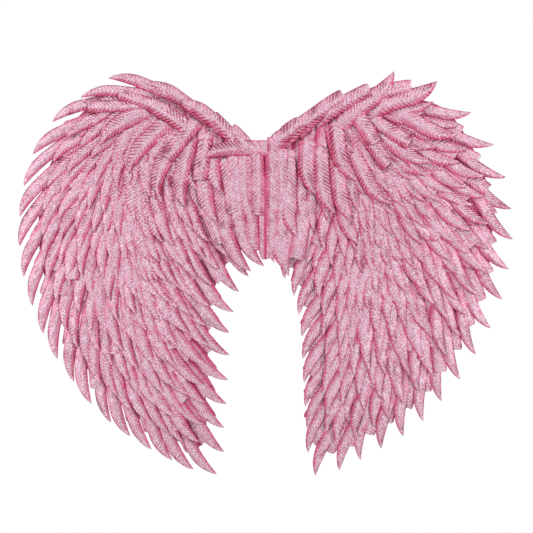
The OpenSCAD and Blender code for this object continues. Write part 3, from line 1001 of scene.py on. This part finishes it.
MATERIALS = {
    "feather_foil": foil(),
    "backing_fabric": fabric("pink_nonwoven", (0.46, 0.08, 0.17), (0.60, 0.17, 0.28), 0.85, 900.0, 0.3),
    "felt": fabric("pink_felt", (0.62, 0.31, 0.40), (0.76, 0.45, 0.54), 0.95, 1300.0, 0.6),
    "elastic": fabric("woven_elastic", (0.66, 0.52, 0.55), (0.80, 0.68, 0.70), 0.8, 2200.0, 0.25),
    "thread": fabric("pink_thread", (0.66, 0.30, 0.40), (0.80, 0.45, 0.55), 0.6, 3500.0, 0.2),
    "wire": metal("drawn_steel", (0.42, 0.42, 0.43), (0.62, 0.62, 0.63), 0.30),
    "ferrule": metal("crimped_aluminium", (0.56, 0.56, 0.57), (0.74, 0.74, 0.75), 0.34),
    "board": board(),
}
# The materials of the pieces that keep their CAD meshes
CAD_MATERIALS = {"wire_frame": "wire", "wire_ferrule": "ferrule", "spine_board": "board"}


# ---- pieces


def add_piece(name, mesh, material, nodes=(), body=None, sharp_angle=None):
    """A piece on a body, in place of CAD nodes."""
    piece = new_piece(name, *mesh, sharp_angle=sharp_angle)
    piece.data.materials.append(MATERIALS[material])
    if nodes:
        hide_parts(*nodes)
    if body:
        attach(piece, body)
    return piece


def add_feathers(name, side):
    """Rows, arch and seam feathers of one wing. Returns the pieces that lie on its base panel."""
    body = f"wing_{name}"
    seam_parts, arch_parts = [], []
    fringe = []
    for k in range(ROWS):
        mesh = build_row(side, k, seam_parts)
        fringe.append(add_piece(f"{name}_fringe_row_{k + 1}", mesh, "feather_foil",
                                [f"{name}_feather_row_{k + 1}"], body, sharp_angle=60))
    rng = np.random.default_rng(77 + side)
    lay(side, HANGING[name], rng, TOP_LIFT - 3.5, 6.0, arch_parts, seam_parts)
    lay(side, ARCH[name][::-1], rng, TOP_LIFT, 2.5, arch_parts, seam_parts, bow=BOW[side])
    lay(side, SEAM[name], rng, TOP_LIFT, 2.0, arch_parts, seam_parts, moved=False, sink=0.0)
    arch = add_piece(f"{name}_arch_fringe", join(arch_parts), "feather_foil",
                     [f"{name}_arch_feathers"], body, sharp_angle=60)
    seam = add_piece(f"{name}_seam_fringe", join(seam_parts), "feather_foil", ["seam_feathers"],
                     sharp_angle=60)
    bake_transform(seam)
    return fringe + [arch]


def add_panel(name, side, kind, material):
    """One panel of a wing, stretched over its wire."""
    panel = add_piece(f"{name}_{kind}_fabric", build_panel(side, kind), material,
                      [f"{name}_{kind}"], f"wing_{name}", sharp_angle=50)
    ring = panel_ring(PANEL_SET_BACK[kind])


def add_strap(name, side):
    strap = add_piece(f"{name}_shoulder_strap", build_strap(side), "elastic",
                      [f"{name}_strap", f"{name}_strap_ends"], sharp_angle=50)
    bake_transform(strap)


for name, side in SIDES.items():
    feathers = add_feathers(name, side)
    add_panel(name, side, "base_panel", "backing_fabric")
    add_panel(name, side, "back_cover", "felt")
    add_piece(f"{name}_channel_stitches", panel_stitches(side), "thread", body=f"wing_{name}")
    add_strap(name, side)

pad = add_piece("spine_pad_felt", build_pad(), "felt", ["spine_pad"], "spine", sharp_angle=60)
add_piece("spine_pad_stitches", build_pad_stitches(), "thread", body="spine")
add_piece("hinge_panel_fabric", build_hinge_panel(), "backing_fabric", ["hinge_panel"], "spine",
          sharp_angle=50)
cover = add_piece("seam_cover_fabric", build_seam_cover(), "backing_fabric", ["seam_cover"], "spine",
                  sharp_angle=50)

for name in list(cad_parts):
    for kind, material in CAD_MATERIALS.items():
        if name.endswith(kind):
            bpy.data.objects[name].material_slots[0].material = MATERIALS[material]

# ---- light and floor


def softbox(name, location, target, size, power):
    data = bpy.data.lights.new(name, "AREA")
    data.shape = "RECTANGLE"
    data.size, data.size_y = size
    data.energy = power
    light = bpy.data.objects.new(name, data)
    light.location = location
    aim = Vector(target) - Vector(location)
    light.rotation_euler = aim.to_track_quat("-Z", "Y").to_euler()
    bpy.context.collection.objects.link(light)


WHITE = (1, 1, 1, 1)
AMBIENT = 0.38             # light from the sides, above and below
FRONT_LIGHT = 0.44         # light from in front and behind, added to the ambient light


def make_light():
    """A bright white studio: light walls in front and behind, dimmer to the sides."""
    for name, side in SIDES.items():
        softbox(f"{name}_softbox", (side * 0.70, -0.60, 0.0), (side * 0.15, 0, -0.1), (0.3, 1.0), 2.2)
    softbox("top_softbox", (0, -0.7, 0.9), (0, 0, -0.1), (1.2, 0.4), 2.5)
    world = bpy.data.worlds.new("studio")
    bpy.context.scene.world = world
    world.use_nodes = True
    tree = world.node_tree
    link = tree.links.new
    where = tree.nodes.new("ShaderNodeTexCoord")
    split = tree.nodes.new("ShaderNodeSeparateXYZ")
    link(where.outputs["Generated"], split.inputs["Vector"])
    size = tree.nodes.new("ShaderNodeMath")
    size.operation = "ABSOLUTE"
    link(split.outputs["Y"], size.inputs[0])
    level = node(tree, "ShaderNodeMapRange", From_Min=0.30, From_Max=0.92,
                 To_Min=AMBIENT, To_Max=AMBIENT + FRONT_LIGHT)
    level.interpolation_type = "SMOOTHSTEP"
    link(size.outputs["Value"], level.inputs["Value"])
    back = tree.nodes["Background"]
    back.inputs["Color"].default_value = WHITE
    link(level.outputs["Result"], back.inputs["Strength"])
    seen = node(tree, "ShaderNodeBackground", Color=WHITE, Strength=1.0)
    mix = tree.nodes.new("ShaderNodeMixShader")
    path = tree.nodes.new("ShaderNodeLightPath")
    link(path.outputs["Is Camera Ray"], mix.inputs["Fac"])
    link(back.outputs["Background"], mix.inputs[1])
    link(seen.outputs["Background"], mix.inputs[2])
    link(mix.outputs["Shader"], tree.nodes["World Output"].inputs["Surface"])
    bpy.context.scene.view_settings.view_transform = "Standard"


FLOOR_SIDES = 96
FLOOR_Y = -0.18
FLOOR_BELOW = 0.13         # how far the floor lies below the wings
# Rings of the floor from its middle outwards: [radius, drop]
FLOOR_RINGS = [[0.0005, 0], [0.2, 0], [0.41, 0], [0.418, 0.003], [0.42, 0.01]]


def make_floor():
    """A small round pale floor under the wings."""
    turn = np.linspace(0, 2 * math.pi, FLOOR_SIDES, endpoint=False)
    z = cad_box[0][2] - FLOOR_BELOW
    rings = [np.stack([r * np.cos(turn), FLOOR_Y + r * np.sin(turn), np.full(FLOOR_SIDES, z - drop)], 1)
             for r, drop in FLOOR_RINGS]
    index = np.arange(len(rings) * FLOOR_SIDES).reshape(-1, FLOOR_SIDES)
    floor = new_piece("studio_floor", np.concatenate(rings), ring_quads(index)[:, ::-1])
    material, tree, shader = principled("white_floor", 0.8)
    where = position_in(tree)
    marks = noise(tree, where, 30.0, 4.0)
    tree.links.new(ramp(tree, marks, (0.3, (0.80,) * 3), (0.7, (0.84,) * 3)), shader.inputs["Base Color"])
    bumps(tree, shader, (noise(tree, where, 300.0), 0.1, 0.0005))
    floor.data.materials.append(material)


make_light()
make_floor()
